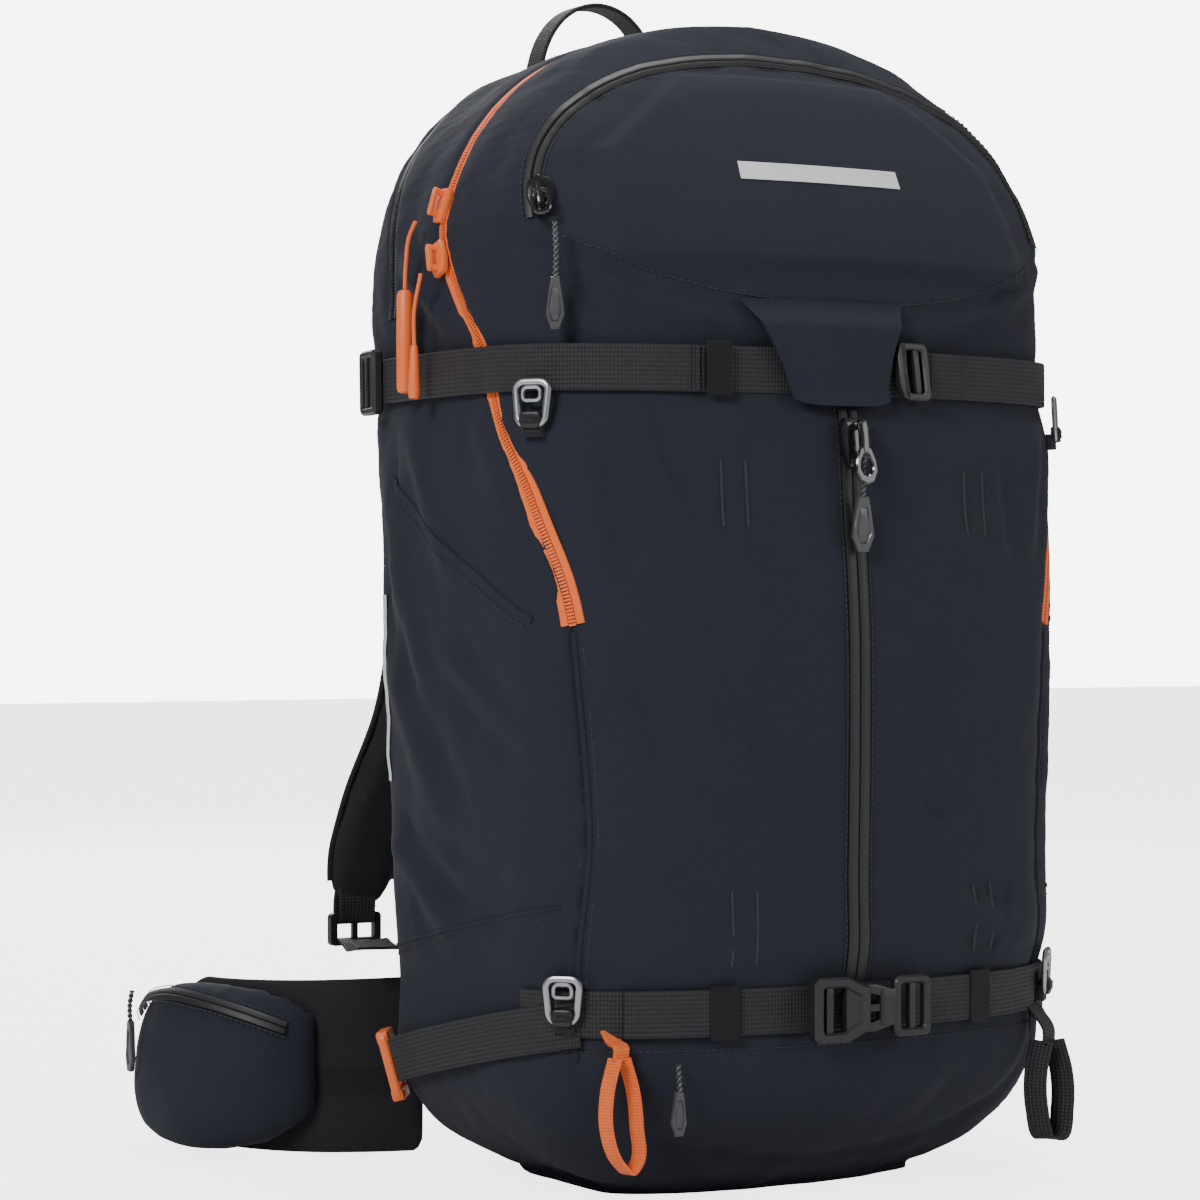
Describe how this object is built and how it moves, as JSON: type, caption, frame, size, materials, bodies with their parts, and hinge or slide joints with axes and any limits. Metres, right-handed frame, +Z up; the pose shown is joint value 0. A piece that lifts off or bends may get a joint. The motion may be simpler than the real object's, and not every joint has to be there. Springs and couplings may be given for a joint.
{
  "type": "avalanche airbag backpack",
  "caption": "Tall rounded backpack with a zipped front panel, compression straps, shoulder straps, hip belt with pockets and a stowed airbag system.",
  "frame": {"origin": "centre of the flat base", "axes": "+Z up to the haul loop, -Y towards the outer face, +Y towards the wearer, -X towards the wearer's left"},
  "size_m": [0.543, 0.4511, 0.69],
  "materials": {
    "navy_fabric": "woven polyester with a dull sheen",
    "black_fabric": "woven lining and foam facing",
    "mesh_foam": "spacer mesh over foam",
    "zip_orange": "bright orange zip tape",
    "zip_black": "coated black zip tape",
    "webbing_black": "ribbed woven webbing",
    "webbing_orange": "woven orange webbing",
    "plastic_black": "moulded acetal",
    "plastic_gloss": "glossy black lacquer",
    "plastic_orange": "orange moulded plastic",
    "pull_grey": "soft grey moulded tab",
    "hook_metal": "cast light metal hook",
    "frame_plastic": "flat polyethylene sheet",
    "stay_metal": "flat bar stay",
    "cartridge_paint": "painted pressure cartridge",
    "inflator_metal": "anodised inflator head",
    "airbag_nylon": "folded coated nylon"
  },
  "bodies": {
    "pack": {"main_shell": "navy_fabric", "front_panel": "navy_fabric", "base_panel": "navy_fabric", "tool_divider": "black_fabric", "frame_sheet": "frame_plastic", "frame_stays": "stay_metal", "airbag_folded": "airbag_nylon", "gas_cartridge": "cartridge_paint", "cartridge_strap": "webbing_black", "inflator_head": "inflator_metal", "release_cable": "plastic_black", "back_panel_foam": "mesh_foam", "lumbar_pad": "mesh_foam", "main_zip": "zip_orange", "airbag_zip": "zip_black", "pocket_zip": "zip_black", "front_zip": "zip_black", "fixed_zip_sliders": "plastic_gloss", "upper_strap": "webbing_black", "lower_strap": "webbing_black", "upper_strap_buckles": "plastic_black", "lower_buckle_socket": "plastic_black", "strap_keepers": "webbing_black", "gear_hooks": "hook_metal", "coloured_hooks": "plastic_orange", "adjuster_web_left": "webbing_black", "adjuster_web_right": "webbing_black", "load_lifters": "webbing_black"},
    "haul_handle": {"haul_loop": "webbing_black"},
    "strap_cover": {"cover_flap": "navy_fabric"},
    "front_slider": {"front_zip_slider": "plastic_gloss"},
    "front_puller": {"front_zip_pull": "pull_grey"},
    "tube_puller": {"main_zip_tube_pull": "plastic_orange"},
    "small_puller": {"main_zip_small_pull": "plastic_orange"},
    "pocket_puller": {"pocket_zip_pull": "pull_grey"},
    "base_puller": {"base_zip_pull": "pull_grey"},
    "buckle_plug": {"lower_buckle_plug": "plastic_black"},
    "orange_loop": {"axe_loop": "webbing_orange"},
    "black_loop": {"base_loop": "webbing_black"},
    "left_strap": {"shoulder_pad_left": "black_fabric", "ladder_lock_left": "plastic_black", "handle_pouch": "black_fabric"},
    "right_strap": {"shoulder_pad_right": "black_fabric", "ladder_lock_right": "plastic_black"},
    "left_sternum": {"sternum_strap_left": "webbing_black", "sternum_socket": "plastic_black"},
    "right_sternum": {"sternum_strap_right": "webbing_black", "sternum_plug": "plastic_black"},
    "trigger": {"release_handle": "plastic_orange"},
    "pin": {"piercing_pin": "stay_metal"},
    "left_fin": {"hip_fin_left": "black_fabric", "hip_pocket_left": "navy_fabric", "waist_web_left": "webbing_black", "waist_socket": "plastic_black"},
    "right_fin": {"hip_fin_right": "black_fabric", "hip_pocket_right": "navy_fabric", "waist_web_right": "webbing_black", "waist_plug": "plastic_black"},
    "left_hip_puller": {"hip_pull_left": "pull_grey"},
    "right_hip_puller": {"hip_pull_right": "pull_grey"}
  },
  "joints": [
    {"name": "haul_loop_fold", "type": "hinge", "parent": "pack", "child": "haul_handle", "pos_m": [0, 0.159, 0.61], "axis": [1, 0, 0], "range_deg": [-35, 35], "stiffness_Nm_per_rad": 0.05},
    {"name": "cover_flap_lift", "type": "hinge", "parent": "pack", "child": "strap_cover", "pos_m": [0, -0.121, 0.486], "axis": [-1, 0, 0], "range_deg": [0, 100]},
    {"name": "front_zip_travel", "type": "hinge", "parent": "pack", "child": "front_slider", "pos_m": [0, 1.036, 0.2503], "axis": [1, 0, 0], "range_deg": [0, 10.8]},
    {"name": "front_pull_swing", "type": "hinge", "parent": "front_slider", "child": "front_puller", "pos_m": [0, -0.134, 0.4012], "axis": [-1, 0, 0], "range_deg": [0, 90]},
    {"name": "tube_pull_swing", "type": "hinge", "parent": "pack", "child": "tube_puller", "pos_m": [-0.1905, 0.036, 0.536], "axis": [0, 1, 0], "range_deg": [0, 60]},
    {"name": "small_pull_swing", "type": "hinge", "parent": "pack", "child": "small_puller", "pos_m": [-0.1955, 0.014, 0.506], "axis": [0, 1, 0], "range_deg": [0, 60]},
    {"name": "pocket_pull_swing", "type": "hinge", "parent": "pack", "child": "pocket_puller", "pos_m": [-0.164, -0.087, 0.527], "axis": [-1, 0, 0], "range_deg": [0, 70]},
    {"name": "base_pull_swing", "type": "hinge", "parent": "pack", "child": "base_puller", "pos_m": [-0.105, -0.1155, 0.081], "axis": [-1, 0, 0], "range_deg": [0, 80]},
    {"name": "lower_buckle_release", "type": "slide", "parent": "pack", "child": "buckle_plug", "axis": [1, 0, 0], "range_m": [0, 0.03]},
    {"name": "axe_loop_swing", "type": "hinge", "parent": "pack", "child": "orange_loop", "pos_m": [-0.135, -0.109, 0.086], "axis": [-1, 0, 0], "range_deg": [0, 60]},
    {"name": "base_loop_swing", "type": "hinge", "parent": "pack", "child": "black_loop", "pos_m": [0.148, -0.104, 0.078], "axis": [-1, 0, 0], "range_deg": [0, 50]},
    {"name": "left_strap_swing", "type": "hinge", "parent": "pack", "child": "left_strap", "pos_m": [-0.05, 0.156, 0.54], "axis": [1, 0, 0], "range_deg": [0, 25]},
    {"name": "right_strap_swing", "type": "hinge", "parent": "pack", "child": "right_strap", "pos_m": [0.05, 0.156, 0.54], "axis": [1, 0, 0], "range_deg": [0, 25]},
    {"name": "left_sternum_height", "type": "slide", "parent": "left_strap", "child": "left_sternum", "axis": [0, 0, 1], "range_m": [-0.015, 0.015]},
    {"name": "right_sternum_height", "type": "slide", "parent": "right_strap", "child": "right_sternum", "axis": [0, 0, 1], "range_m": [-0.015, 0.015]},
    {"name": "trigger_pull", "type": "slide", "parent": "left_strap", "child": "trigger", "axis": [0, 0, -1], "range_m": [0, 0.024]},
    {"name": "pin_strike", "type": "slide", "parent": "pack", "child": "pin", "axis": [0, 0, -1], "range_m": [0, 0.004]},
    {"name": "left_fin_wrap", "type": "hinge", "parent": "pack", "child": "left_fin", "pos_m": [-0.118, 0.14, 0.055], "axis": [0, 0, 1], "range_deg": [-30, 18]},
    {"name": "right_fin_wrap", "type": "hinge", "parent": "pack", "child": "right_fin", "pos_m": [0.118, 0.14, 0.055], "axis": [0, 0, -1], "range_deg": [-30, 18]},
    {"name": "left_hip_pull_swing", "type": "hinge", "parent": "left_fin", "child": "left_hip_puller", "pos_m": [-0.27, 0.238, 0.096], "axis": [0, 1, 0], "range_deg": [0, 70]},
    {"name": "right_hip_pull_swing", "type": "hinge", "parent": "right_fin", "child": "right_hip_puller", "pos_m": [0.27, 0.238, 0.096], "axis": [0, -1, 0], "range_deg": [0, 70]}
  ],
  "couplings": [
    {"joint": "pin_strike", "follows": "trigger_pull", "ratio": 0.15}
  ]
}
